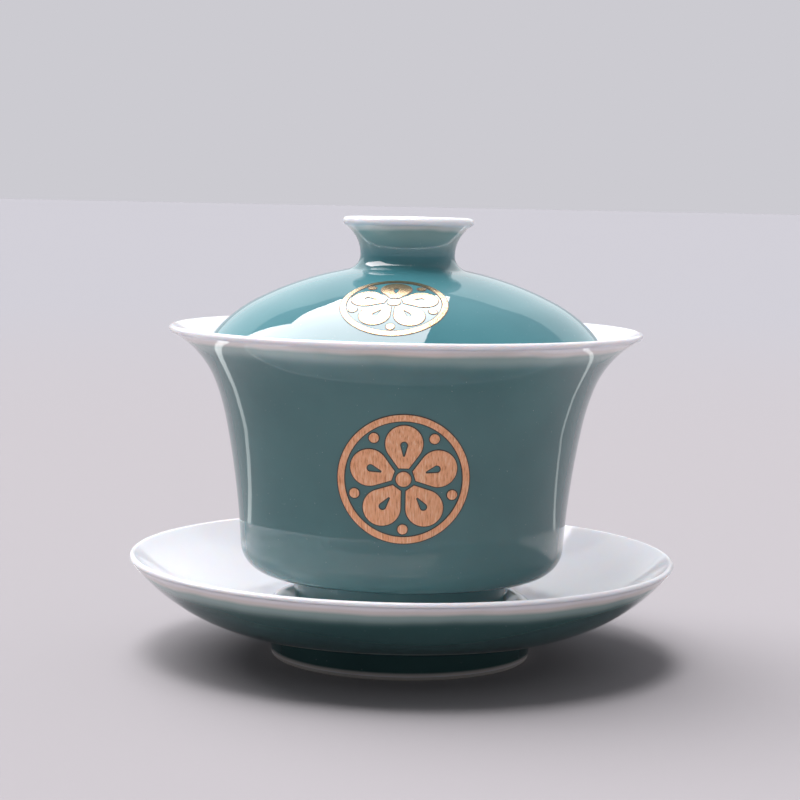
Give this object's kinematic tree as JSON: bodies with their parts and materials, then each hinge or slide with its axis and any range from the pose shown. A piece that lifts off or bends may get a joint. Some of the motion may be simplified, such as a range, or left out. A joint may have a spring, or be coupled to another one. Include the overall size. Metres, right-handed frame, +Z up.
{
  "type": "gaiwan",
  "caption": "Lidded tea bowl on a saucer: a flared bowl stands in the saucer's well, and a domed lid with a hollow ring knob rests inside its rim.",
  "frame": {"origin": "on the axis of the saucer, bowl and lid, at the surface that the saucer's foot ring stands on", "axes": "+Z up along the axis; -Y towards the front, where the emblems are; +X to the right seen from the front"},
  "size_m": [0.1156, 0.1156, 0.0934],
  "materials": {
    "porcelain": "white porcelain under a clear gloss glaze",
    "teal_glaze": "gloss teal celadon glaze",
    "gold_leaf": "satin copper-gold, finely brushed upwards"
  },
  "bodies": {
    "saucer": {"saucer_body": "porcelain", "saucer_glaze": "teal_glaze"},
    "bowl": {"bowl_body": "porcelain", "bowl_glaze": "teal_glaze", "bowl_emblem": "gold_leaf"},
    "lid": {"lid_body": "porcelain", "lid_knob": "porcelain", "lid_glaze": "teal_glaze", "knob_recess_glaze": "teal_glaze", "lid_emblem": "gold_leaf"}
  },
  "joints": [
    {"name": "bowl_lift", "type": "slide", "parent": "saucer", "child": "bowl", "axis": [0, 0, 1], "range_m": [0, 0.06]},
    {"name": "lid_lift", "type": "slide", "parent": "bowl", "child": "lid", "axis": [0, 0, 1], "range_m": [0, 0.06]}
  ]
}
